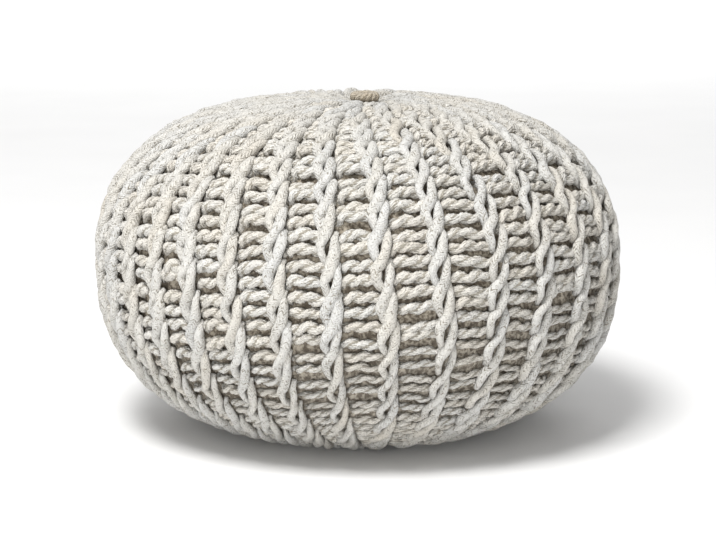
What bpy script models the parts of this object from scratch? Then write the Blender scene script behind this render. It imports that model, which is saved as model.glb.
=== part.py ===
"""Knitted pouf: a filled knit cover with thirty wales, gathered at its crown around a ring of cord.

Metres, +Z up. The origin is on the floor under the middle of the pouf, and the front faces -Y.
"""

import math

import bmesh
import bpy
import numpy as np
from mathutils import Matrix

# Body of the pouf, outside the knit's raised wales
WIDTH = 0.500
HEIGHT = 0.311
WIDEST_HEIGHT = 0.158
SHOULDER_FULLNESS = 3.11
CROWN_ROUNDING = 2.22
FLANK_FULLNESS = 2.85
UNDERSIDE_ROUNDING = 2.36
FLOOR_PRESS = 1.06
PROFILE_STEPS = 600

# Knit of the cover, as a share of a half turn for the shifts and in radians for the angles
WALES = 30
FIRST_WALE = 0.034
STRETCH = 0.384
STRETCH_FROM = 0.305
LEAN = 0.090
CROWN_SHIFT = (0.119, 0.100)
FOOT_SHIFT = (0.035, -0.082)
MIDDLE_SHIFT = 0.174

# Wales, raised from the ground of the knit: their half widths as shares of the wale pitch
WALE_HEIGHT = 0.0075
WALE_TOP = 0.10
WALE_FOOT = 0.25
WALE_FADE_CROWN = 0.160
WALE_FADE_FOOT = 0.060

# Crown: (distance from the middle of the gather, sink below the body's form)
CROWN_RINGS = (
    (0.0110, 0.0077),
    (0.0145, 0.0075),
    (0.0175, 0.0066),
    (0.0230, 0.0048),
    (0.0340, 0.0025),
    (0.0500, 0.0008),
    (0.0700, 0.0000),
)
BODY_RINGS = 26
FOOT_RINGS = 3

# Cord that draws the crown together
CORD_THICKNESS = 0.0100
CORD_RING_RADIUS = 0.0095
CORD_STRANDS = 3
CORD_TWISTS = 5
CORD_GROOVE = 0.10
CORD_STEPS_AROUND = 54
CORD_STEPS_ACROSS = 12
CLEARANCE = 0.0003

COVER_COLOUR = (0.76, 0.73, 0.68)
CORD_COLOUR = (0.48, 0.40, 0.30)
SHARP_ANGLE = math.radians(70)


def smooth_step(value):
    """0 up to 0, 1 from 1 on, and an even curve between."""
    value = np.clip(value, 0.0, 1.0)
    return value * value * (3.0 - 2.0 * value)


def side_profile():
    """Run of the fabric from the crown's middle to the foot's, with its radius and height there."""
    quarter = np.linspace(0.0, math.pi / 2, PROFILE_STEPS)
    radius = WIDTH / 2
    upper_radius = radius * np.sin(quarter) ** (2 / SHOULDER_FULLNESS)
    upper_height = WIDEST_HEIGHT + (HEIGHT - WIDEST_HEIGHT) * np.cos(quarter) ** (2 / CROWN_ROUNDING)
    lower_radius = radius * np.cos(quarter) ** (2 / FLANK_FULLNESS)
    lower_height = WIDEST_HEIGHT * (1 - FLOOR_PRESS * np.sin(quarter) ** (2 / UNDERSIDE_ROUNDING))
    above_floor = lower_height > 0
    foot_radius = np.interp(0.0, -lower_height, lower_radius)
    radii = np.concatenate((upper_radius, lower_radius[above_floor][1:], (foot_radius, 0.0)))
    heights = np.concatenate((upper_height, lower_height[above_floor][1:], (0.0, 0.0)))
    run = np.concatenate(((0.0,), np.cumsum(np.hypot(np.diff(radii), np.diff(heights)))))
    return run, radii, heights, foot_radius


RUN, RADII, HEIGHTS, FOOT_RADIUS = side_profile()
LENGTH = RUN[-1]


def knit_direction(turn, down):
    """Direction of a place in the knit: the turn around it, and the angle down from its crown."""
    east = np.sin(down) * np.sin(turn)
    south = -np.sin(down) * np.cos(turn)
    up = np.cos(down)
    near_crown = (1 + np.cos(down)) / 2
    near_foot = (1 - np.cos(down)) / 2
    x = east * math.cos(LEAN) - up * math.sin(LEAN) + MIDDLE_SHIFT * np.sin(down) ** 2
    x = x + CROWN_SHIFT[0] * near_crown + FOOT_SHIFT[0] * near_foot
    y = south + CROWN_SHIFT[1] * near_crown + FOOT_SHIFT[1] * near_foot
    z = east * math.sin(LEAN) + up * math.cos(LEAN)
    length = np.sqrt(x * x + y * y + z * z)
    return x / length, y / length, z / length


def on_body(turn, down):
    """Point of the body's form and its outward normal for a place in the knit."""
    x, y, z = knit_direction(turn, down)
    run = np.arccos(np.clip(z, -1.0, 1.0)) / math.pi * LENGTH
    side = np.maximum(np.hypot(x, y), 1e-9)
    radius = np.interp(run, RUN, RADII)
    height = np.interp(run, RUN, HEIGHTS)
    outward = np.interp(run, RUN, -np.gradient(HEIGHTS, RUN))
    upward = np.interp(run, RUN, np.gradient(RADII, RUN))
    scale = np.maximum(np.hypot(outward, upward), 1e-9)
    point = np.stack((radius * x / side, radius * y / side, height), axis=-1)
    normal = np.stack((outward * x / side, outward * y / side, upward), axis=-1) / scale[..., None]
    return point, normal


def wale_turns():
    """Turn of each line of points, and whether it runs on top of a wale: four lines to a wale."""
    offsets = (-WALE_FOOT, -WALE_TOP, WALE_TOP, WALE_FOOT)
    raised = (0.0, 1.0, 1.0, 0.0)
    even = []
    top = []
    for wale in range(WALES):
        for offset, height in zip(offsets, raised):
            even.append(FIRST_WALE + (wale + offset) * 2 * math.pi / WALES)
            top.append(height)
    even = np.array(even)
    return even - STRETCH * np.cos(even - STRETCH_FROM), np.array(top)


def ring_angles():
    """Angle down from the crown of each ring of points, and its sink there."""
    crown_runs = [run for run, sink in CROWN_RINGS]
    crown_sinks = [sink for run, sink in CROWN_RINGS]
    foot_start = LENGTH - FOOT_RADIUS
    body_runs = np.linspace(crown_runs[-1], foot_start, BODY_RINGS + 1)[1:]
    foot_runs = np.linspace(foot_start, LENGTH, FOOT_RINGS + 2)[1:-1]
    runs = np.concatenate(((0.0,), crown_runs, body_runs, foot_runs, (LENGTH,)))
    sinks = np.zeros(len(runs))
    sinks[0] = crown_sinks[0]
    sinks[1:len(crown_sinks) + 1] = crown_sinks
    return runs / LENGTH * math.pi, sinks


def crown_middle():
    """Point of the body's form at the middle of the gather."""
    point, normal = on_body(np.array(0.0), np.array(0.0))
    return point


def shape_cover(mesh):
    """Moves a unit sphere's points onto the pouf and raises its wales."""
    turns, on_top = wale_turns()
    downs, sinks = ring_angles()
    flat = np.empty(len(mesh.vertices) * 3)
    mesh.vertices.foreach_get("co", flat)
    ball = flat.reshape(-1, 3)
    around = np.arctan2(ball[:, 0], -ball[:, 1]) / (2 * math.pi) * len(turns)
    line = np.round(around - 0.5).astype(int) % len(turns)
    ring = np.round(np.arccos(np.clip(ball[:, 2], -1, 1)) / math.pi * (len(downs) - 1)).astype(int)
    point, normal = on_body(turns[line], downs[ring])
    run = downs[ring] / math.pi * LENGTH
    fade = smooth_step(run / WALE_FADE_CROWN) * smooth_step(point[:, 2] / WALE_FADE_FOOT)
    point = point - normal * (WALE_HEIGHT * (1 - on_top[line]) * fade)[:, None]
    point[:, 2] -= sinks[ring]
    point[:, 2] = np.maximum(point[:, 2], 0.0)
    mesh.vertices.foreach_set("co", point.ravel())
    mesh.update()


def outline_middle(mesh):
    """Middle of the mesh's box in plan."""
    flat = np.empty(len(mesh.vertices) * 3)
    mesh.vertices.foreach_get("co", flat)
    plan = flat.reshape(-1, 3)[:, :2]
    return (plan.min(axis=0) + plan.max(axis=0)) / 2


def principled(name, colour, roughness):
    """Matt fabric of one colour."""
    material = bpy.data.materials.new(name)
    material.use_nodes = True
    shader = material.node_tree.nodes["Principled BSDF"]
    shader.inputs["Base Color"].default_value = (*colour, 1.0)
    shader.inputs["Roughness"].default_value = roughness
    shader.inputs["Metallic"].default_value = 0.0
    return material


def add_part(name, mesh, material, collection):
    """Puts a mesh in the collection as one smooth named part."""
    mesh.materials.append(material)
    mesh.shade_smooth()
    mesh.set_sharp_from_angle(angle=SHARP_ANGLE)
    part = bpy.data.objects.new(name, mesh)
    collection.objects.link(part)
    return part


def make_cover(collection):
    """Filled knit cover, one closed solid with its crown, wales and flat foot."""
    downs, sinks = ring_angles()
    ball = bmesh.new()
    bmesh.ops.create_uvsphere(ball, u_segments=WALES * 4, v_segments=len(downs) - 1, radius=1.0)
    half_step = math.pi / (WALES * 4)
    bmesh.ops.rotate(ball, verts=ball.verts, matrix=Matrix.Rotation(half_step, 3, "Z"))
    mesh = bpy.data.meshes.new("knit_cover")
    ball.to_mesh(mesh)
    ball.free()
    shape_cover(mesh)
    cover = add_part("knit_cover", mesh, principled("cotton_cord", COVER_COLOUR, 0.92), collection)
    return cover


def make_gather_cord(collection):
    """Twisted cord in a ring, seated in the crown's hollow."""
    bpy.ops.mesh.primitive_torus_add(
        major_segments=CORD_STEPS_AROUND,
        minor_segments=CORD_STEPS_ACROSS,
        major_radius=CORD_RING_RADIUS,
        minor_radius=CORD_THICKNESS / 2,
    )
    torus = bpy.context.object
    mesh = torus.data
    bpy.data.objects.remove(torus)
    mesh.name = "gather_cord"
    for vertex in mesh.vertices:
        x, y, z = vertex.co
        around = math.atan2(y, x)
        outward = math.hypot(x, y) - CORD_RING_RADIUS
        across = math.atan2(z, outward)
        strand = math.cos(CORD_STRANDS * across - CORD_TWISTS * CORD_STRANDS * around)
        thickness = CORD_THICKNESS / 2 * (1 - CORD_GROOVE + CORD_GROOVE * strand)
        reach = CORD_RING_RADIUS + thickness * math.cos(across)
        vertex.co = (reach * math.cos(around), reach * math.sin(around), thickness * math.sin(across))
    part = add_part("gather_cord", mesh, principled("tan_cord", CORD_COLOUR, 0.90), collection)
    seat = crown_middle()
    floor_of_hollow = seat[2] - CROWN_RINGS[0][1]
    part.location = (seat[0], seat[1], floor_of_hollow + CLEARANCE + CORD_THICKNESS / 2)
    return part


def build():
    """Clears the scene, makes both parts and stands them over the origin."""
    for old in list(bpy.data.objects):
        bpy.data.objects.remove(old, do_unlink=True)
    collection = bpy.data.collections.new("pouf")
    bpy.context.scene.collection.children.link(collection)
    cover = make_cover(collection)
    cord = make_gather_cord(collection)
    middle = outline_middle(cover.data)
    for part in (cover, cord):
        part.location.x -= middle[0]
        part.location.y -= middle[1]


build()
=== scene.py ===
"""Looks of the knitted pouf: each stitch of its cotton-cord cover, its ground, and its crown's cord."""

import math

import bpy
import numpy as np
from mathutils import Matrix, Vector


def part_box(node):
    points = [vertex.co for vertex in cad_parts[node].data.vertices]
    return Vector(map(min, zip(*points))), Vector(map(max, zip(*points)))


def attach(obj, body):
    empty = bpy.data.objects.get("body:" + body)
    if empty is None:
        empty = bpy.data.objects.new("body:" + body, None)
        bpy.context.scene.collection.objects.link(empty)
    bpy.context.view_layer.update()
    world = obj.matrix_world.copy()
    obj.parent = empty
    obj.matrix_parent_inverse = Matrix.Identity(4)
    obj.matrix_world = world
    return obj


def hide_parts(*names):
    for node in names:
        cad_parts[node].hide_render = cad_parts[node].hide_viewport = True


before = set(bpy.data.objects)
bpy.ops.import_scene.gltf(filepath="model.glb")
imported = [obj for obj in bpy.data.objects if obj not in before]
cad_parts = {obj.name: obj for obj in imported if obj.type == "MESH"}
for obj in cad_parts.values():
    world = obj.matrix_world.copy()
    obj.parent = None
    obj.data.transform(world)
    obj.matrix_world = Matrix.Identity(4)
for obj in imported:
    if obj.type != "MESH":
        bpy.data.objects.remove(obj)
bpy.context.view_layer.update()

MM = 0.001

# Form of the body, as in the solid
WIDTH = 0.500
HEIGHT = 0.311
WIDEST_HEIGHT = 0.158
SHOULDER_FULLNESS = 3.11
CROWN_ROUNDING = 2.22
FLANK_FULLNESS = 2.85
UNDERSIDE_ROUNDING = 2.36
FLOOR_PRESS = 1.06
PROFILE_STEPS = 600

# Crown: (distance from the middle of the gather, sink below the body's form)
CROWN_SINKS = (
    (0.0110, 0.0077),
    (0.0145, 0.0075),
    (0.0175, 0.0066),
    (0.0230, 0.0048),
    (0.0340, 0.0025),
    (0.0500, 0.0008),
    (0.0700, 0.0000),
)
SINK_RUNS = [run for run, sink in CROWN_SINKS]
SINKS = [sink for run, sink in CROWN_SINKS]

# How the knit lies on the body
WALES = 30
FIRST_WALE = 0.034
STRETCH = 0.384
STRETCH_FROM = 0.305
LEAN = 0.090
CROWN_SHIFT = (0.119, 0.100)
FOOT_SHIFT = (0.035, -0.082)
MIDDLE_SHIFT = 0.174

# Courses, counted down from the crown's hole, and the gathers, where wales are drawn together in pairs
COURSES = 24
HOLE_RUN = 0.016
FOOT_RUN = 0.012
GATHER_COURSE = 2
GATHER_BLEND = 2.2
PAIR_DRAW = 0.45

# Steps of the table that makes courses even along every wale
TABLE_TURNS = 180
TABLE_DOWNS = 600

# Cord of the knit: radius, strand's share of it, and length of one turn of the strands
LEG_RADIUS = 0.0051
LEG_STRAND = 0.78
LEG_TURN = -0.090
BAR_RADIUS = 0.0058
BAR_STRAND = 0.68
BAR_TURN = 0.024
MOST_TURNS = 1.45
CORD_SIDES = 8
LEG_RINGS = 24
BAR_RINGS = 24
SECTORS = 6

# Cords keep their full thickness down to this pitch of the wales, and shrink with it below
FULL_PITCH = 0.0195
FULL_BAR_GAP = FULL_PITCH * 1.15
LEAST_SCALE = 0.50
LEAST_BAR_GAP = 0.012

# Cords rest on the floor: least height of their middle as a share of the radius, and of their surface
FLOOR_SHARE = 0.75
FLOOR_GAP = 0.0004

# Tone of the cords, from cool to warm
LEG_WARMTH = 0.36
BAR_WARMTH = 0.62
RING_WARMTH = 0.5
TONE_SPREAD = 0.17

# Place of each cord's material on its piece
LEG_SLOT = 0
BAR_SLOT = 1
RING_SLOT = 0

# Slow wander: shares of the wale pitch and of the course pitch, with their wave lengths in courses
WALE_SWAY = ((0.035, 9.0), (0.018, 4.3))
COURSE_SWAY = ((0.060, 9.0), (0.030, 4.1))

# Uneven stitches: (mm across, courses down, mm of depth) at knots, (mm across, courses down) as a whole
LEG_KNOT_SPREAD = (0.35, 0.010, 0.20)
LEG_PLACE_SPREAD = (0.4, 0.030)
LEG_RADIUS_SHARE_SPREAD = 0.04

# Uneven bars, in courses unless the name says otherwise
BAR_ARCH_SHARE_SPREAD = 0.3
BAR_ARCH_SPREAD = 0.035
BAR_KNOT_SPREAD = 0.032
BAR_PLACE_SPREAD = 0.040
BAR_DEPTH_MM_SPREAD = 0.35
BAR_RADIUS_SHARE_SPREAD = 0.065
BAR_TURN_SHARE_SPREAD = 0.20
BAR_TURN_LIMITS = (0.6, 1.6)

# Low on the sides the cords are thinner, from a level that tilts up to the right
LOW_FULL = 0.070
LOW_BLEND = 0.085
LOW_TILT = 0.18
LOW_BAR_THINNER = 0.39
LOW_LEG_THINNER = 0.30

# On the right the knit is slack, and its bars lie deeper, in mm
RIGHT_FROM = 0.03
RIGHT_BLEND = 0.13
RIGHT_BAR_SINK = 0.7
SLACK_FROM = 0.5
SLACK_BLEND = 0.5
STITCH_MIDDLE = 0.8
BAR_MIDDLE = 0.4

# Near the floor the cords are thinner and lie nearer the surface
FLAT_FULL = 0.006
FLAT_BLEND = 0.060
FLAT_THINNER = 0.22
FLAT_LEG_LIFT = 0.12
FLAT_BAR_LIFT = 0.15

# Near the crown the bars lie higher, in mm, down to this course
CROWN_BAR_RISE = 3.6
CROWN_BLEND = 8.5

# Bars dip where they come out from under a leg
LEG_EDGE = 0.0078
GROOVE_WIDTH = 0.0040
GROOVE_SINK = 0.0042

# Ground of the knit, raised under the crown and near the floor, with strands along the wales
GROUND_DEPTH = 0.0150
GROUND_LINES = 12
GROUND_RINGS = 96
CROWN_GROUND_RISE = 0.0050
RIGHT_GROUND_RISE = 0.0025
CROWN_GROUND_FROM = 0.2
CROWN_GROUND_BLEND = 0.75
FLAT_GROUND_RISE = 0.0055
GROUND_STRANDS = 2
STRAND_RISE = 0.0020
STRAND_WAVER = 0.25
STRAND_WAVES = 24
STRAND_FADE = 0.5
GROUND_FLOOR_GAP = 0.002
GROUND_FOOT_RISE = 0.003
# Share of painted light on the ground low on the sides
LOW_GROUND_LIGHT = 0.25

# One stitch of a wale along its cord: (across in mm, courses down, depth in mm, share of thickness)
STITCH_PATH = (
    (4.8, -0.10, -10.5, 0.62),
    (4.3, 0.00, -7.6, 0.62),
    (4.0, 0.14, -5.8, 0.80),
    (3.2, 0.38, -5.0, 0.98),
    (1.7, 0.66, -4.8, 1.04),
    (-0.5, 0.92, -4.7, 1.08),
    (-3.6, 1.12, -4.8, 1.12),
    (-6.9, 1.30, -5.2, 1.08),
    (-8.4, 1.46, -5.6, 1.00),
    (-7.9, 1.64, -6.1, 0.92),
    (-5.8, 1.84, -7.6, 0.86),
    (-3.6, 1.98, -10.6, 0.80),
)

# The same stitch where the knit is slack: thinner, with its hook hanging clear of the next leg
SLACK_PATH = (
    (9.0, -0.10, -10.5, 0.50),
    (8.4, 0.00, -7.6, 0.55),
    (7.5, 0.14, -5.6, 0.68),
    (6.0, 0.34, -4.7, 0.78),
    (3.8, 0.56, -4.4, 0.83),
    (0.8, 0.78, -4.2, 0.86),
    (-4.2, 0.94, -4.0, 0.90),
    (-8.0, 1.08, -4.2, 0.94),
    (-8.7, 1.27, -4.6, 0.92),
    (-7.8, 1.48, -5.2, 0.84),
    (-6.4, 1.68, -7.4, 0.70),
    (-4.8, 1.82, -10.6, 0.62),
)

# Knots of the stitches that only come out of the crown's hole, or only go in under the foot
COMING_OUT = slice(5, None)
GOING_IN = slice(0, 8)

# A bar along its cord: (share of the gap, share of the arch, depth in mm, share of thickness)
BAR_PATH = (
    (0.00, 0.00, -11.8, 0.86),
    (0.12, 0.45, -10.2, 0.92),
    (0.30, 1.00, -9.0, 1.00),
    (0.52, 0.85, -8.8, 1.04),
    (0.72, 0.45, -9.0, 1.00),
    (0.88, 0.20, -9.4, 0.92),
    (1.00, 0.00, -10.4, 0.84),
)

# Where the bars lie between their wales, in courses: left end, right end and rise of the arch
FLOWING_BAR = (0.66, 0.52, 0.10)
FLOWING_SLACK = (0.84, 0.58, 0.17)
PLAIN_BAR = (0.20, 0.08, 0.13)
PLAIN_SLACK = (0.12, 0.24, 0.00)

# Where the bars end, in mm to the right of their left and right wales
FLOWING_ENDS = (3.5, -8.0)
PLAIN_ENDS = (5.0, -5.0)
FLOWING_END_LIFT = 1.2

# Ring of cord at the crown
RING_STRANDS = 3
RING_TWISTS = 5
RING_STEPS = 120
RING_SIDES = 12
RING_STRAND_SHARE = 0.27

# Fine yarns of the cords: width, fibres to the metre, and how they are laid around the cord
YARN_WIDTH = 0.0030
YARN_SHAKE = 1.4
YARN_RELIEF = 0.24
FIBRE_RATE = 160.0
FIBRE_RELIEF = 1.7
FIBRE_LEVEL = -1.15
CHEVRON_FOLDS = 4.0
CHEVRON_SLOPE = 2.6
YARNS_AROUND = 13.0
YARNS_ALONG = 9

# Colours of the ground, each dark and light at random: painted shade where it is seen in the gaps, and
# painted light where it is made pale
SHADED_GAP_COLOURS = ((0.14, 0.115, 0.085), (0.43, 0.38, 0.305))
LIT_GROUND_COLOURS = ((0.30, 0.275, 0.235), (0.63, 0.60, 0.54))

# Camera
CAMERA_ELEVATION = math.radians(11.0)
CAMERA_DISTANCE = 2.2
CAMERA_LENS = 115.6
CAMERA_SENSOR = 36.0
AIM_HEIGHT = 0.1445

# Lights: name, place, aim, size, power and colour
LIGHTS = (
    ("key", (-0.7, -1.25, 2.95), (0.0, 0.0, 0.15), 1.1, 99.0, (1.0, 0.995, 0.985)),
    ("fill", (-0.35, -2.4, 0.26), (0.0, 0.0, 0.04), 0.5, 18.0, (1.0, 1.0, 1.0)),
    ("backdrop", (0.0, 9.0, 5.0), (0.0, 11.0, 0.0), 6.0, 1100.0, (1.0, 1.0, 1.0)),
)
WORLD_STRENGTH = 0.50
FLOOR_SIZE = 60.0

SEED = 11
random = np.random.default_rng(SEED)
WALE_PHASES = random.random((2, WALES))
COURSE_PHASES = random.random((2, WALES))


def jitter(shape, spread):
    """Uneven handwork: a seeded spread around zero."""
    return random.normal(0.0, spread, shape)


def smooth_step(value):
    """0 up to 0, 1 from 1 on, and an even curve between."""
    value = np.clip(value, 0.0, 1.0)
    return value * value * (3.0 - 2.0 * value)


def side_profile():
    """Run of the fabric from the crown's middle to the foot's, with its radius and height there."""
    quarter = np.linspace(0.0, math.pi / 2, PROFILE_STEPS)
    radius = WIDTH / 2
    upper_radius = radius * np.sin(quarter) ** (2 / SHOULDER_FULLNESS)
    upper_height = WIDEST_HEIGHT + (HEIGHT - WIDEST_HEIGHT) * np.cos(quarter) ** (2 / CROWN_ROUNDING)
    lower_radius = radius * np.cos(quarter) ** (2 / FLANK_FULLNESS)
    lower_height = WIDEST_HEIGHT * (1 - FLOOR_PRESS * np.sin(quarter) ** (2 / UNDERSIDE_ROUNDING))
    above_floor = lower_height > 0
    foot_radius = np.interp(0.0, -lower_height, lower_radius)
    radii = np.concatenate((upper_radius, lower_radius[above_floor][1:], (foot_radius, 0.0)))
    heights = np.concatenate((upper_height, lower_height[above_floor][1:], (0.0, 0.0)))
    run = np.concatenate(((0.0,), np.cumsum(np.hypot(np.diff(radii), np.diff(heights)))))
    return run, radii, heights


RUN, RADII, HEIGHTS = side_profile()
LENGTH = RUN[-1]
OUTWARD = -np.gradient(HEIGHTS, RUN)
UPWARD = np.gradient(RADII, RUN)


def knit_direction(turn, down):
    """Direction of a place in the knit: the turn around it, and the angle down from its crown."""
    east = np.sin(down) * np.sin(turn)
    south = -np.sin(down) * np.cos(turn)
    up = np.cos(down)
    near_crown = (1 + np.cos(down)) / 2
    near_foot = (1 - np.cos(down)) / 2
    x = east * math.cos(LEAN) - up * math.sin(LEAN) + MIDDLE_SHIFT * np.sin(down) ** 2
    x = x + CROWN_SHIFT[0] * near_crown + FOOT_SHIFT[0] * near_foot
    y = south + CROWN_SHIFT[1] * near_crown + FOOT_SHIFT[1] * near_foot
    z = east * math.sin(LEAN) + up * math.cos(LEAN)
    length = np.sqrt(x * x + y * y + z * z)
    return x / length, y / length, z / length


def on_form(turn, down):
    """Point of the body's form, about its own axis, and its outward normal."""
    x, y, z = knit_direction(turn, down)
    run = np.arccos(np.clip(z, -1.0, 1.0)) / math.pi * LENGTH
    side = np.maximum(np.hypot(x, y), 1e-9)
    radius = np.interp(run, RUN, RADII)
    height = np.interp(run, RUN, HEIGHTS)
    outward = np.interp(run, RUN, OUTWARD)
    upward = np.interp(run, RUN, UPWARD)
    scale = np.maximum(np.hypot(outward, upward), 1e-9)
    point = np.stack((radius * x / side, radius * y / side, height), axis=-1)
    normal = np.stack((outward * x / side, outward * y / side, upward), axis=-1) / scale[..., None]
    return point, normal


def frame_shift():
    """From the form's own axis to the frame's, read from where the crown's cord lies."""
    low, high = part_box("gather_cord")
    crown = on_form(np.array(0.0), np.array(0.0))[0]
    return np.array(((low[0] + high[0]) / 2 - crown[0], (low[1] + high[1]) / 2 - crown[1], 0.0))


SHIFT = frame_shift()


def on_body(turn, down):
    """Point of the body in the frame, sunk around the crown's hole, and its outward normal."""
    point, normal = on_form(turn, down)
    point = point + SHIFT
    point[..., 2] -= np.interp(down / math.pi * LENGTH, SINK_RUNS, SINKS)
    return point, normal


def metres_per_turn(turn, down):
    """Length on the body of one radian around the knit."""
    step = 0.01
    ahead = on_form(turn + step, down)[0]
    behind = on_form(turn - step, down)[0]
    return np.linalg.norm(ahead - behind, axis=-1) / (2 * step)


def even_runs():
    """Length from crown to foot at even turns, and the angle down at even steps along it."""
    turn = np.arange(TABLE_TURNS + 1) * 2 * math.pi / TABLE_TURNS
    down = np.linspace(0.0, math.pi, TABLE_DOWNS)
    point = on_form(*np.meshgrid(turn, down, indexing="ij"))[0]
    steps = np.linalg.norm(np.diff(point, axis=1), axis=-1)
    run = np.concatenate((np.zeros((len(turn), 1)), np.cumsum(steps, axis=1)), axis=1)
    shares = np.linspace(0.0, 1.0, TABLE_DOWNS)
    return run[:, -1], np.array([np.interp(shares, row / row[-1], down) for row in run])


WALE_LENGTHS, EVEN_DOWNS = even_runs()


def course_down(course, turn):
    """Angle down from the crown of a course, which may be a fraction: courses are even along a wale."""
    place = (turn / (2 * math.pi)) % 1.0 * TABLE_TURNS
    column = np.minimum(place.astype(int), TABLE_TURNS - 1)
    part = place - column
    whole = WALE_LENGTHS[column] * (1 - part) + WALE_LENGTHS[column + 1] * part
    run = HOLE_RUN + course * (whole - HOLE_RUN - FOOT_RUN) / COURSES
    step = np.clip(run / whole, 0.0, 1.0) * (TABLE_DOWNS - 1)
    row = np.minimum(step.astype(int), TABLE_DOWNS - 2)
    rest = step - row
    here = EVEN_DOWNS[column, row] * (1 - rest) + EVEN_DOWNS[column, row + 1] * rest
    ahead = EVEN_DOWNS[column + 1, row] * (1 - rest) + EVEN_DOWNS[column + 1, row + 1] * rest
    return here * (1 - part) + ahead * part


def wale_turn(wale):
    """Turn of a wale, which may be a fraction, with the knit's uneven stretch."""
    even = FIRST_WALE + wale * 2 * math.pi / WALES
    return even - STRETCH * np.cos(even - STRETCH_FROM)


def sway(wale, course, waves, phases):
    """Slow wander along each wale, different for every wale."""
    number = np.round(wale).astype(int) % WALES
    total = np.zeros(np.broadcast(wale, course).shape)
    for (size, length), phase in zip(waves, phases):
        total = total + size * np.sin(2 * math.pi * (course / length + phase[number]))
    return total


def nearness_to_gather(course):
    """1 at the two gathers and 0 away from them."""
    at_crown = smooth_step((GATHER_COURSE + GATHER_BLEND - course) / GATHER_BLEND)
    at_foot = smooth_step((course - COURSES + GATHER_COURSE + GATHER_BLEND) / GATHER_BLEND)
    return at_crown + at_foot


def drawn_wale(wale, course):
    """A wale's place as it wanders, and as it is drawn towards its neighbour near the gathers."""
    pair_middle = np.floor(wale / 2) * 2 + 0.5
    near = nearness_to_gather(course)
    wander = sway(wale, course, WALE_SWAY, WALE_PHASES) * (1 - near)
    return wale + (pair_middle - wale) * PAIR_DRAW * near + wander


def lowness(turn, down):
    """0 on the upper knit and 1 low on the sides, which starts higher on the right."""
    point = on_form(turn, down)[0]
    level = point[..., 2] - LOW_TILT * point[..., 0]
    return 1 - smooth_step((level - LOW_FULL) / LOW_BLEND)


def rightness(turn, down):
    """0 on the left and middle, and 1 on the right, where the knit is opened wider."""
    point = on_form(turn, down)[0]
    return smooth_step((point[..., 0] - RIGHT_FROM) / RIGHT_BLEND)


def slackness(turn, down):
    """0 where the stitches are drawn tight and 1 where they hang open, on the right below the crown."""
    return rightness(turn, down) * smooth_step((down - SLACK_FROM) / SLACK_BLEND)


def flatness(turn, down):
    """0 on the sides and 1 near the floor, where the knit is pressed flat."""
    point = on_form(turn, down)[0]
    return 1 - smooth_step((point[..., 2] - FLAT_FULL) / FLAT_BLEND)


def crown_nearness(course):
    """1 at the crown and 0 on the sides."""
    return 1 - smooth_step(course / CROWN_BLEND)


def spline(knots, count):
    """Points at even steps along a smooth curve through each row of knots: (rows, count, columns)."""
    places = np.linspace(0, knots.shape[1] - 1, count)
    index = np.minimum(places.astype(int), knots.shape[1] - 2)
    part = (places - index)[None, :, None]
    before_first = 2 * knots[:, :1] - knots[:, 1:2]
    after_last = 2 * knots[:, -1:] - knots[:, -2:-1]
    padded = np.concatenate((before_first, knots, after_last), axis=1)
    before, start, end, after = (padded[:, index + offset] for offset in range(4))
    return 0.5 * (
        2 * start
        + (end - before) * part
        + (2 * before - 5 * start + 4 * end - after) * part ** 2
        + (3 * start - before - 3 * end + after) * part ** 3
    )


def two_strand_section(sides, strand_share):
    """Even angles around a cord of two strands, and its radius there as a share of its full radius."""
    angle = np.arange(sides) * 2 * math.pi / sides
    offset = 1 - strand_share
    along = offset * np.abs(np.cos(angle))
    return angle, along + np.sqrt(strand_share ** 2 - (offset * np.sin(angle)) ** 2)


def cord_tubes(turn, down, depth, radius, turn_length, strand_share, start_twist):
    """Points of many tubes (cords, rings, sides, 3), and the turns of twist up to each ring."""
    point, normal = on_body(turn, down)
    middle = point + normal * depth[..., None]
    middle[..., 2] = np.maximum(middle[..., 2], radius * FLOOR_SHARE)
    tangent = np.gradient(middle, axis=1)
    tangent /= np.linalg.norm(tangent, axis=-1, keepdims=True)
    lift = normal - tangent * np.sum(normal * tangent, axis=-1, keepdims=True)
    lift /= np.maximum(np.linalg.norm(lift, axis=-1, keepdims=True), 1e-6)
    side = np.cross(tangent, lift)
    steps = np.linalg.norm(np.diff(middle, axis=1), axis=-1)
    length = np.concatenate((np.zeros((len(steps), 1)), np.cumsum(steps, axis=1)), axis=1)
    whole = length[:, -1:]
    turns = np.clip(whole / turn_length, -MOST_TURNS, MOST_TURNS) * length / whole
    angle, section = two_strand_section(CORD_SIDES, strand_share)
    twist = start_twist[:, None] + turns * 2 * math.pi
    around = twist[..., None] + angle
    reach = radius[..., None] * section
    points = middle[..., None, :] + reach[..., None] * (
        np.cos(around)[..., None] * side[..., None, :] + np.sin(around)[..., None] * lift[..., None, :]
    )
    points[..., 2] = np.maximum(points[..., 2], FLOOR_GAP)
    return points, turns


def tube_faces(cords, rings, sides):
    """Corner indices of the tubes' quads and of their two end faces."""
    first = np.arange(cords)[:, None, None] * rings * sides
    ring = np.arange(rings - 1)[None, :, None] * sides
    here = np.arange(sides)[None, None, :]
    ahead = (here + 1) % sides
    base = first + ring
    quads = np.stack((base + here, base + ahead, base + ahead + sides, base + here + sides), axis=-1)
    start = first[:, 0] + np.arange(sides)[::-1][None, :]
    end = first[:, 0] + (rings - 1) * sides + np.arange(sides)[None, :]
    return quads.reshape(-1, 4), np.concatenate((start, end))


def cord_coordinates(length, sides):
    """Place along and around its cord of each corner of the tubes' quads."""
    along_start = np.repeat(length[:, :-1, None], sides, axis=2)
    along_end = np.repeat(length[:, 1:, None], sides, axis=2)
    here = np.broadcast_to(np.arange(sides) / sides, along_start.shape)
    ahead = here + 1 / sides
    along = np.stack((along_start, along_start, along_end, along_end), axis=-1)
    around = np.stack((here, ahead, ahead, here), axis=-1)
    return np.stack((along, around), axis=-1).reshape(-1, 2)


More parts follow.
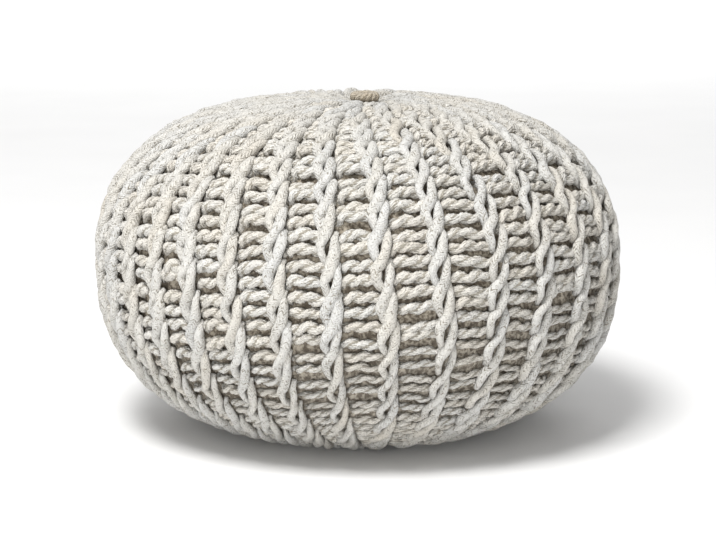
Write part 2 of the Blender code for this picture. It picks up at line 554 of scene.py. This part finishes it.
def add_mesh(name, points, faces, coordinates, tones_and_light):
    """One object from vertex points and lists of faces, with the cord's own coordinates, and a tone at
    its points: a random tone on the cords, and painted light on the ground.
    """
    mesh = bpy.data.meshes.new(name)
    sizes = np.concatenate([np.full(len(group), group.shape[1]) for group in faces])
    corners = np.concatenate([group.ravel() for group in faces])
    mesh.vertices.add(len(points))
    mesh.vertices.foreach_set("co", points.astype(np.float32).ravel())
    mesh.loops.add(len(corners))
    mesh.loops.foreach_set("vertex_index", corners.astype(np.int32))
    mesh.polygons.add(len(sizes))
    mesh.polygons.foreach_set("loop_start", (np.cumsum(sizes) - sizes).astype(np.int32))
    mesh.uv_layers.new(name="cord")
    mesh.uv_layers["cord"].data.foreach_set("uv", coordinates.astype(np.float32).ravel())
    tone = mesh.attributes.new("tone", "FLOAT", "POINT")
    tone.data.foreach_set("value", tones_and_light.astype(np.float32))
    mesh.update(calc_edges=True)
    mesh.validate()
    mesh.shade_smooth()
    piece = bpy.data.objects.new(name, mesh)
    bpy.context.scene.collection.objects.link(piece)
    return piece


def join_tubes(name, groups):
    """One object from groups of tubes: (points, length along the cord, warmth, material slot) each."""
    points = []
    quads = []
    ends = []
    quad_places = []
    end_places = []
    quad_slots = []
    end_slots = []
    tones_and_light = []
    start = 0
    for tubes, length, warmth, slot in groups:
        cords, rings, sides = tubes.shape[:3]
        tube_quads, tube_ends = tube_faces(cords, rings, sides)
        points.append(tubes.reshape(-1, 3))
        quads.append(tube_quads + start)
        ends.append(tube_ends + start)
        quad_places.append(cord_coordinates(length, sides))
        end_places.append(np.zeros((tube_ends.size, 2)))
        quad_slots.append(np.full(len(tube_quads), slot))
        end_slots.append(np.full(len(tube_ends), slot))
        tones_and_light.append(np.repeat(np.clip(random.normal(warmth, TONE_SPREAD, cords), 0, 1), rings * sides))
        start += cords * rings * sides
    piece = add_mesh(
        name,
        np.concatenate(points),
        [np.concatenate(quads), np.concatenate(ends)],
        np.concatenate(quad_places + end_places),
        np.concatenate(tones_and_light),
    )
    slots = np.concatenate(quad_slots + end_slots)
    piece.data.polygons.foreach_set("material_index", slots.astype(np.int32))
    return piece


def stitch_paths(slack, knots_used):
    """Uneven paths of stitches: across in mm, courses down, depth in mm and share of thickness."""
    knots = np.array(STITCH_PATH[knots_used]) * (1 - slack) + np.array(SLACK_PATH[knots_used]) * slack
    at_knots = knots.shape[:2]
    for_stitches = (len(slack), 1)
    across_spread, course_spread, depth_spread = LEG_KNOT_SPREAD
    knots[..., 0] += jitter(at_knots, across_spread) + jitter(for_stitches, LEG_PLACE_SPREAD[0])
    knots[..., 1] += jitter(at_knots, course_spread) + jitter(for_stitches, LEG_PLACE_SPREAD[1])
    knots[..., 2] += jitter(at_knots, depth_spread)
    return spline(knots, LEG_RINGS)


def stitch_tubes(wales, courses, gathered=False, knots_used=slice(None)):
    """The cords of the wales' stitches, one for each wale and course given."""
    count = len(wales)
    straight = wale_turn(wales)
    slack = slackness(straight, course_down(courses + STITCH_MIDDLE, straight))[:, None, None]
    path = stitch_paths(slack, knots_used)
    wales = np.repeat(wales[:, None], LEG_RINGS, axis=1)
    course = courses[:, None] + path[..., 1]
    swayed = sway(wales, course, COURSE_SWAY, COURSE_PHASES) * (1 - nearness_to_gather(course))
    turn = wale_turn(wales if gathered else drawn_wale(wales, course))
    down = course_down(course + swayed, turn)
    metres = metres_per_turn(turn, down)
    pitch = metres * (2 * math.pi / WALES) * (2 if gathered else 1)
    near = np.minimum(pitch / FULL_PITCH, 1.0)
    scale = np.maximum(near, LEAST_SCALE)
    turn = turn + path[..., 0] * MM * near / metres
    flat = flatness(turn, down)
    depth = path[..., 2] * MM * scale * (1 - FLAT_LEG_LIFT * flat)
    low_and_tight = lowness(turn, down) * (1 - slack[..., 0]) * (1 - flat)
    thinned = (1 - LOW_LEG_THINNER * low_and_tight) * (1 - FLAT_THINNER * flat)
    uneven = 1 + jitter((count, 1), LEG_RADIUS_SHARE_SPREAD)
    radius = LEG_RADIUS * scale * path[..., 3] * thinned * uneven
    twist = random.random(count) * 2 * math.pi
    points, turns = cord_tubes(turn, down, depth, radius, LEG_TURN, LEG_STRAND, twist)
    return points, turns * LEG_TURN, LEG_WARMTH, LEG_SLOT


def bar_paths(slack, flowing):
    """Uneven paths of bars: share of the gap, courses down, depth in mm and share of thickness."""
    count = len(slack)
    knots = np.repeat(np.array(BAR_PATH)[None], count, axis=0)
    tight, loose = (FLOWING_BAR, FLOWING_SLACK) if flowing else (PLAIN_BAR, PLAIN_SLACK)
    left_course, right_course, rise = (
        drawn * (1 - slack) + hung * slack for drawn, hung in zip(tight, loose)
    )
    share = knots[..., 0]
    arch = rise * (1 + jitter((count, 1), BAR_ARCH_SHARE_SPREAD)) + jitter((count, 1), BAR_ARCH_SPREAD)
    course = left_course + (right_course - left_course) * share - arch * knots[..., 1]
    course = course + jitter(share.shape, BAR_KNOT_SPREAD) + jitter((count, 1), BAR_PLACE_SPREAD)
    depth = knots[..., 2] + jitter(share.shape, BAR_DEPTH_MM_SPREAD)
    if flowing:
        depth[:, -1] += FLOWING_END_LIFT
    return spline(np.stack((share, course, depth, knots[..., 3]), axis=-1), BAR_RINGS)


def bar_places(wales, course, share, flowing):
    """Turn and angle down along the bars, with their left wale's turn, metres per turn and gap."""
    sway_left = sway(wales, course, COURSE_SWAY, COURSE_PHASES)
    sway_right = sway(wales + 1, course, COURSE_SWAY, COURSE_PHASES)
    swayed = (sway_left + (sway_right - sway_left) * share) * (1 - nearness_to_gather(course))
    left = wale_turn(drawn_wale(wales, course))
    right = wale_turn(drawn_wale(wales + 1, course))
    down = course_down(course + swayed, left + (right - left) * share)
    metres = metres_per_turn((left + right) / 2, down)
    gap = (right - left) * metres
    near = np.minimum(gap / FULL_PITCH, 1.0)
    left_end, right_end = FLOWING_ENDS if flowing else PLAIN_ENDS
    start = left + left_end * MM * near / metres
    end = right + right_end * MM * near / metres
    turn = start + (end - start) * share
    return turn, down, left, metres, gap


def bar_tubes(wales, courses, flowing):
    """The cords across the gaps to the right of the wales given; a flowing bar runs on into a stitch."""
    count = len(wales)
    between = wale_turn(wales + 0.5)
    slack = slackness(between, course_down(courses + BAR_MIDDLE, between))[:, None]
    path = bar_paths(slack, flowing)
    wales = np.repeat(wales[:, None], BAR_RINGS, axis=1)
    course = courses[:, None] + path[..., 1]
    turn, down, left, metres, gap = bar_places(wales, course, path[..., 0], flowing)
    near = np.minimum(gap / FULL_PITCH, 1.0)
    scale = np.clip(gap / FULL_BAR_GAP, LEAST_SCALE, 1.0)
    flat = flatness(turn, down)
    crown = crown_nearness(course)
    rise = CROWN_BAR_RISE * crown - RIGHT_BAR_SINK * rightness(turn, down) * (1 - crown)
    beside_leg = 1 - smooth_step(((turn - left) * metres / near - LEG_EDGE) / GROOVE_WIDTH)
    depth = ((path[..., 2] + rise) * MM - GROOVE_SINK * beside_leg) * scale * (1 - FLAT_BAR_LIFT * flat)
    thinned = (1 - LOW_BAR_THINNER * lowness(turn, down) * (1 - flat)) * (1 - FLAT_THINNER * flat)
    uneven = 1 + jitter((count, 1), BAR_RADIUS_SHARE_SPREAD)
    radius = BAR_RADIUS * scale * path[..., 3] * thinned * uneven
    twist = random.random(count) * 2 * math.pi
    turn_length = BAR_TURN * np.clip(1 + jitter((count, 1), BAR_TURN_SHARE_SPREAD), *BAR_TURN_LIMITS)
    points, turns = cord_tubes(turn, down, depth, radius, turn_length, BAR_STRAND, twist)
    wide_enough = gap[:, BAR_RINGS // 2] > LEAST_BAR_GAP
    return points[wide_enough], turns[wide_enough] * BAR_TURN, BAR_WARMTH, BAR_SLOT


def grid(wales, courses):
    """Every pair of a wale and a course, as two flat arrays."""
    all_wales, all_courses = np.meshgrid(np.array(wales, dtype=float), np.array(courses, dtype=float))
    return all_wales.ravel(), all_courses.ravel()


def make_knit():
    """The knit in joined pieces, each a sector of wales with their stitches and bars."""
    pieces = []
    per_sector = WALES // SECTORS
    last = COURSES - GATHER_COURSE
    for sector in range(SECTORS):
        wales = np.arange(sector * per_sector, (sector + 1) * per_sector)
        pairs = wales[wales % 2 == 0] + 0.5
        groups = [
            stitch_tubes(*grid(wales, range(GATHER_COURSE, last))),
            stitch_tubes(*grid(pairs, range(0, GATHER_COURSE)), gathered=True),
            stitch_tubes(*grid(pairs, [-1]), gathered=True, knots_used=COMING_OUT),
            stitch_tubes(*grid(pairs, range(last, COURSES - 1)), gathered=True),
            stitch_tubes(*grid(pairs, [COURSES - 1]), gathered=True, knots_used=GOING_IN),
            bar_tubes(*grid(wales, range(GATHER_COURSE, last)), flowing=True),
            bar_tubes(*grid(wales, range(GATHER_COURSE, last)), flowing=False),
        ]
        pieces.append(join_tubes(f"knit_{sector + 1}", groups))
    return pieces


def crown_share(downs):
    """1 at the crown and 0 on the sides, for the ground."""
    return 1 - smooth_step((downs - CROWN_GROUND_FROM) / CROWN_GROUND_BLEND)


def ground_depth(wales, turns, downs):
    """How far the ground lies inside the body."""
    crown_rise = CROWN_GROUND_RISE + RIGHT_GROUND_RISE * rightness(turns, downs)
    depth = GROUND_DEPTH - crown_rise * crown_share(downs) - FLAT_GROUND_RISE * flatness(turns, downs)
    waver = STRAND_WAVER * np.sin(STRAND_WAVES * downs)
    strands = np.abs(np.sin(math.pi * (GROUND_STRANDS * wales + waver)))
    return depth - STRAND_RISE * strands * smooth_step(downs / STRAND_FADE)


def closed_faces(around, rings):
    """Quads between rings of points, and fans that close them to one point above and one below."""
    here = np.arange(around)
    ahead = (here + 1) % around
    ring = np.arange(rings - 1)[:, None] * around
    below = ring + around
    quads = np.stack((ring + here, below + here, below + ahead, ring + ahead), axis=-1)
    last = (rings - 1) * around
    top = rings * around
    top_fan = np.stack((np.full(around, top), here, ahead), axis=-1)
    bottom_fan = np.stack((np.full(around, top + 1), last + ahead, last + here), axis=-1)
    return [quads.reshape(-1, 4), np.concatenate((top_fan, bottom_fan))]


def make_ground():
    """The body under the stitches, one closed form a little inside them."""
    around = WALES * GROUND_LINES
    down_steps = np.linspace(0, math.pi, GROUND_RINGS + 1)[1:-1]
    wales, downs = np.meshgrid(np.arange(around) / GROUND_LINES, down_steps)
    turns = wale_turn(wales)
    point, normal = on_body(turns, downs)
    shell = point - normal * ground_depth(wales, turns, downs)[..., None]
    shell[..., 2] = np.maximum(shell[..., 2], GROUND_FLOOR_GAP)
    top = on_body(np.zeros(1), np.zeros(1))[0] - (0, 0, GROUND_DEPTH)
    bottom = on_body(np.zeros(1), np.full(1, math.pi))[0] + (0, 0, GROUND_FOOT_RISE)
    points = np.concatenate((shell.reshape(-1, 3), top, bottom))
    faces = closed_faces(around, len(down_steps))
    corners = sum(group.size for group in faces)
    # Painted light on the ground: lighter near the floor, under the crown and a little low on the sides,
    # stored at its points in place of a tone
    light_near_floor_and_crown = np.maximum(flatness(turns, downs), crown_share(downs))
    painted_ground_light = np.maximum(LOW_GROUND_LIGHT * lowness(turns, downs), light_near_floor_and_crown)
    tones_and_light = np.concatenate((painted_ground_light.ravel(), (0.0, 1.0)))
    return add_mesh("knit_ground", points, faces, np.zeros((corners, 2)), tones_and_light)


def ring_strand(centre, ring_radius, thickness, start):
    """Points of one strand of the crown's ring of cord, from its starting angle around the cord."""
    strand_radius = thickness * RING_STRAND_SHARE
    offset = thickness / 2 - strand_radius
    around = np.linspace(0, 2 * math.pi, RING_STEPS)
    phase = RING_TWISTS * around + start
    outward = np.stack((np.cos(around), np.sin(around), np.zeros(RING_STEPS)), axis=-1)
    up = np.array((0.0, 0.0, 1.0))
    middle = centre + outward * (ring_radius + offset * np.cos(phase))[:, None]
    middle = middle + up * (offset * np.sin(phase))[:, None]
    tangent = np.gradient(middle, axis=0)
    tangent[0] = tangent[-1] = tangent[0] + tangent[-1]
    tangent /= np.linalg.norm(tangent, axis=-1, keepdims=True)
    lift = outward - tangent * np.sum(outward * tangent, axis=-1, keepdims=True)
    lift /= np.linalg.norm(lift, axis=-1, keepdims=True)
    side = np.cross(tangent, lift)
    angle = np.arange(RING_SIDES) * 2 * math.pi / RING_SIDES
    return middle[:, None] + strand_radius * (
        np.cos(angle)[:, None] * side[:, None] + np.sin(angle)[:, None] * lift[:, None]
    )


def make_gather_cord():
    """Ring of three-strand cord in the crown's hole, on the solid's own ring."""
    low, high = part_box("gather_cord")
    centre = (np.array(low) + np.array(high)) / 2
    thickness = high[2] - low[2]
    ring_radius = (high[0] - low[0] - thickness) / 2
    length = np.linspace(0, 2 * math.pi * ring_radius, RING_STEPS)
    groups = []
    for strand in range(RING_STRANDS):
        points = ring_strand(centre, ring_radius, thickness, strand * 2 * math.pi / RING_STRANDS)
        groups.append((points[None], length[None], RING_WARMTH, RING_SLOT))
    return join_tubes("gather_cord_ring", groups)


def new_material(name):
    """An empty node material with its node tree and shader."""
    material = bpy.data.materials.new(name)
    material.use_nodes = True
    tree = material.node_tree
    return material, tree, tree.nodes["Principled BSDF"]


def add_node(tree, kind, inputs=(), **settings):
    """A node with its settings, and values or links for its inputs."""
    node = tree.nodes.new(kind)
    for name, value in settings.items():
        setattr(node, name, value)
    for name, value in dict(inputs).items():
        if isinstance(value, bpy.types.NodeSocket):
            tree.links.new(value, node.inputs[name])
        else:
            node.inputs[name].default_value = value
    return node


def calculate(tree, operation, *values):
    """One step of arithmetic on numbers and links."""
    return add_node(tree, "ShaderNodeMath", enumerate(values), operation=operation).outputs[0]


def noise(tree, place, scale, detail, roughness=0.5):
    """Even noise over a place, from 0 to 1."""
    inputs = {"Vector": place, "Scale": scale, "Detail": detail, "Roughness": roughness}
    return add_node(tree, "ShaderNodeTexNoise", inputs).outputs["Fac"]


def ramp(tree, factor, stops):
    """A colour ramp through (position, colour) stops."""
    node = add_node(tree, "ShaderNodeValToRGB", {"Fac": factor})
    elements = node.color_ramp.elements
    while len(elements) < len(stops):
        elements.new(0.5)
    for element, (position, colour) in zip(elements, stops):
        element.position = position
        element.color = (*colour, 1.0)
    return node.outputs["Color"]


def blend(tree, factor, first, second):
    """A colour between two others."""
    inputs = {"Factor": factor, "A": first, "B": second}
    return add_node(tree, "ShaderNodeMix", inputs, data_type="RGBA").outputs["Result"]


def object_place(tree):
    """Place on the piece, in metres."""
    return add_node(tree, "ShaderNodeTexCoord").outputs["Object"]


def stored_tone_and_light(tree):
    """The tone stored at the piece's points: a random tone on the cords, and painted light on the
    ground.
    """
    return add_node(tree, "ShaderNodeAttribute", attribute_name="tone").outputs["Fac"]


def finish_surface(tree, shader, colour, height, relief):
    """Gives the shader its colour, and a bump from a height."""
    tree.links.new(colour, shader.inputs["Base Color"])
    bump = add_node(tree, "ShaderNodeBump", {"Height": height, "Strength": 1.0, "Distance": relief})
    tree.links.new(bump.outputs["Normal"], shader.inputs["Normal"])


def chevron_phase(tree, along, around):
    """Turns of the fine yarns on a stitch: pointed bands across the cord."""
    fold = calculate(tree, "PINGPONG", calculate(tree, "MULTIPLY", around, CHEVRON_FOLDS), 0.5)
    bands = calculate(tree, "MULTIPLY", along, 1 / YARN_WIDTH)
    return calculate(tree, "MULTIPLY_ADD", fold, CHEVRON_SLOPE, bands)


def twist_phase(tree, along, around):
    """Turns of the fine yarns on a bar: bands that run nearly with the cord."""
    bands = calculate(tree, "MULTIPLY", along, YARNS_ALONG / BAR_TURN)
    return calculate(tree, "MULTIPLY_ADD", around, YARNS_AROUND, bands)


def strand_groove(tree, around):
    """0 on the two strands of a cord and 1 in the grooves between them."""
    fold = calculate(tree, "PINGPONG", calculate(tree, "MULTIPLY", around, 2.0), 0.5)
    inputs = {"Value": fold, "From Min": 0.32, "From Max": 0.50}
    return add_node(tree, "ShaderNodeMapRange", inputs).outputs["Result"]


def fibres_along(tree, along, phase, tone):
    """Uneven fibres drawn out along the fine yarns, different on every cord."""
    stretched = calculate(tree, "MULTIPLY", along, FIBRE_RATE)
    cord = calculate(tree, "MULTIPLY", tone, 40.0)
    place = add_node(tree, "ShaderNodeCombineXYZ", {"X": phase, "Y": stretched, "Z": cord})
    return noise(tree, place.outputs[0], scale=1.5, detail=3.0)


def yarn_height(tree, place, tone, yarn_phase, groove_depth):
    """Height of the fine yarns, broken by fibres and by the grooves between a cord's strands; it makes
    the bump, and where it is low the colour takes painted shade.
    """
    laid = add_node(tree, "ShaderNodeUVMap", uv_map="cord")
    parts = add_node(tree, "ShaderNodeSeparateXYZ", {"Vector": laid.outputs["UV"]})
    along = parts.outputs["X"]
    around = parts.outputs["Y"]
    phase = yarn_phase(tree, along, around)
    loose = noise(tree, place, scale=160.0, detail=2.0)
    shaken = calculate(tree, "MULTIPLY_ADD", loose, YARN_SHAKE, phase)
    wave = calculate(tree, "SINE", calculate(tree, "MULTIPLY", shaken, 2 * math.pi))
    fibres = fibres_along(tree, along, phase, tone)
    tufts = noise(tree, place, scale=560.0, detail=2.0, roughness=0.6)
    both = calculate(tree, "ADD", tufts, fibres)
    spread = calculate(tree, "MULTIPLY_ADD", both, FIBRE_RELIEF, FIBRE_LEVEL)
    height = calculate(tree, "MULTIPLY_ADD", wave, YARN_RELIEF, spread)
    return calculate(tree, "MULTIPLY_ADD", strand_groove(tree, around), -groove_depth, height)


def cord_material(name, yarn_phase, groove_depth, relief, cool, middle, warm, pit_shade_colour):
    """Matt cotton cord: fine yarns laid along it, soft fibre, uneven tone, and painted shade that
    darkens its grooves and low spots, along with a few darker flecks of fibre of its own.
    """
    material, tree, shader = new_material(name)
    place = object_place(tree)
    tone = stored_tone_and_light(tree)
    patches = noise(tree, place, scale=30.0, detail=3.0)
    warmth = calculate(tree, "MULTIPLY", calculate(tree, "ADD", patches, tone), 0.5)
    base = ramp(tree, warmth, ((0.28, cool), (0.50, middle), (0.72, warm)))
    height = yarn_height(tree, place, tone, yarn_phase, groove_depth)
    # Painted shade: the colour darkens towards the shade colour where the height is low, in the grooves
    # between strands and fine yarns, and at a few flecks of fibre that are darker of themselves
    painted_pit_shade = ramp(tree, height, ((0.0, (1.0, 1.0, 1.0)), (0.38, (0.0, 0.0, 0.0))))
    finish_surface(tree, shader, blend(tree, painted_pit_shade, base, (*pit_shade_colour, 1.0)), height, relief)
    shader.inputs["Roughness"].default_value = 0.92
    shader.inputs["Specular IOR Level"].default_value = 0.25
    shader.inputs["Sheen Weight"].default_value = 0.12
    shader.inputs["Sheen Roughness"].default_value = 0.6
    return material


def stitch_material():
    """Off-white cord of the stitches, with its two strands nearly closed up; painted darker than the
    same cord in the bars, to make up for the stitches catching the most light on top of the knit.
    """
    return cord_material(
        "stitch_cord",
        chevron_phase,
        groove_depth=0.12,
        relief=0.0009,
        cool=(0.62, 0.615, 0.595),
        middle=(0.625, 0.605, 0.56),
        warm=(0.62, 0.58, 0.51),
        pit_shade_colour=(0.26, 0.235, 0.19),
    )


def bar_material():
    """Off-white cord of the bars, with deep grooves between its two strands; painted lighter than the
    same cord in the stitches, to make up for the shade the bars lie in.
    """
    return cord_material(
        "bar_cord",
        twist_phase,
        groove_depth=0.90,
        relief=0.0011,
        cool=(0.72, 0.715, 0.69),
        middle=(0.72, 0.70, 0.655),
        warm=(0.71, 0.67, 0.60),
        pit_shade_colour=(0.36, 0.33, 0.275),
    )


def tan_material():
    """Tan cord at the crown."""
    return cord_material(
        "tan_cord",
        twist_phase,
        groove_depth=0.3,
        relief=0.0010,
        cool=(0.48, 0.43, 0.35),
        middle=(0.56, 0.49, 0.39),
        warm=(0.60, 0.51, 0.39),
        pit_shade_colour=(0.26, 0.21, 0.14),
    )


def ground_material():
    """Taupe fabric of the body, seen in the gaps of the knit: darkened with painted shade in the gaps,
    and lightened with painted light near the floor, under the crown and a little low on the sides.
    """
    material, tree, shader = new_material("ground_fabric")
    patches = noise(tree, object_place(tree), scale=260.0, detail=3.0)
    # Painted shade in the gaps and painted light where the ground is made pale, mixed by the painted
    # light stored at its points
    dark = ramp(tree, patches, ((0.42, SHADED_GAP_COLOURS[0]), (0.60, SHADED_GAP_COLOURS[1])))
    pale = ramp(tree, patches, ((0.42, LIT_GROUND_COLOURS[0]), (0.60, LIT_GROUND_COLOURS[1])))
    finish_surface(tree, shader, blend(tree, stored_tone_and_light(tree), dark, pale), patches, 0.0045)
    shader.inputs["Roughness"].default_value = 0.95
    return material


def floor_material():
    """Plain pale floor."""
    material, tree, shader = new_material("pale_floor")
    grain = noise(tree, object_place(tree), scale=4.0, detail=2.0)
    colour = ramp(tree, grain, ((0.3, (0.86, 0.86, 0.86)), (0.7, (0.88, 0.88, 0.88))))
    tree.links.new(colour, shader.inputs["Base Color"])
    shader.inputs["Roughness"].default_value = 0.8
    return material


def area_light(name, place, aim, size, power, colour):
    """A soft square light at a place, turned towards its aim."""
    light = bpy.data.lights.new(name, "AREA")
    light.size = size
    light.energy = power
    light.color = colour
    lamp = bpy.data.objects.new(name, light)
    lamp.location = place
    x, y, z = np.array(aim) - np.array(place)
    tilt = math.atan2(math.hypot(x, y), -z)
    lamp.rotation_euler = (tilt, 0, math.atan2(y, x) - math.pi / 2)
    bpy.context.scene.collection.objects.link(lamp)


def make_floor():
    """The pale floor under the pouf."""
    bpy.ops.mesh.primitive_plane_add(size=FLOOR_SIZE)
    floor = bpy.context.object
    floor.name = "floor"
    floor.data.materials.append(floor_material())


def set_world():
    """Even white light from all around."""
    world = bpy.data.worlds.new("studio")
    world.use_nodes = True
    background = world.node_tree.nodes["Background"]
    background.inputs["Color"].default_value = (1.0, 1.0, 1.0, 1.0)
    background.inputs["Strength"].default_value = WORLD_STRENGTH
    bpy.context.scene.world = world


def set_camera():
    """The camera at the photograph's viewing angle."""
    camera_data = bpy.data.cameras.new("camera")
    camera_data.lens = CAMERA_LENS
    camera_data.sensor_width = CAMERA_SENSOR
    camera_data.clip_end = 200.0
    camera = bpy.data.objects.new("camera", camera_data)
    back = CAMERA_DISTANCE * math.cos(CAMERA_ELEVATION)
    rise = CAMERA_DISTANCE * math.sin(CAMERA_ELEVATION)
    camera.location = (SHIFT[0], SHIFT[1] - back, AIM_HEIGHT + rise)
    camera.rotation_euler = (math.pi / 2 - CAMERA_ELEVATION, 0.0, 0.0)
    bpy.context.scene.collection.objects.link(camera)
    bpy.context.scene.camera = camera
    bpy.context.scene.view_settings.view_transform = "Standard"


def set_stage():
    """Floor, world, lights and camera."""
    make_floor()
    set_world()
    for light in LIGHTS:
        area_light(*light)
    set_camera()


def dress(piece, materials, node):
    """Gives a piece its materials and ties it to the frame."""
    for material in materials:
        piece.data.materials.append(material)
    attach(piece, "root")
    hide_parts(node)


def main():
    """Builds every piece."""
    cords = (stitch_material(), bar_material())
    for piece in make_knit():
        dress(piece, cords, "knit_cover")
    ground = make_ground()
    dress(ground, (ground_material(),), "knit_cover")
    dress(make_gather_cord(), (tan_material(),), "gather_cord")
    set_stage()


main()
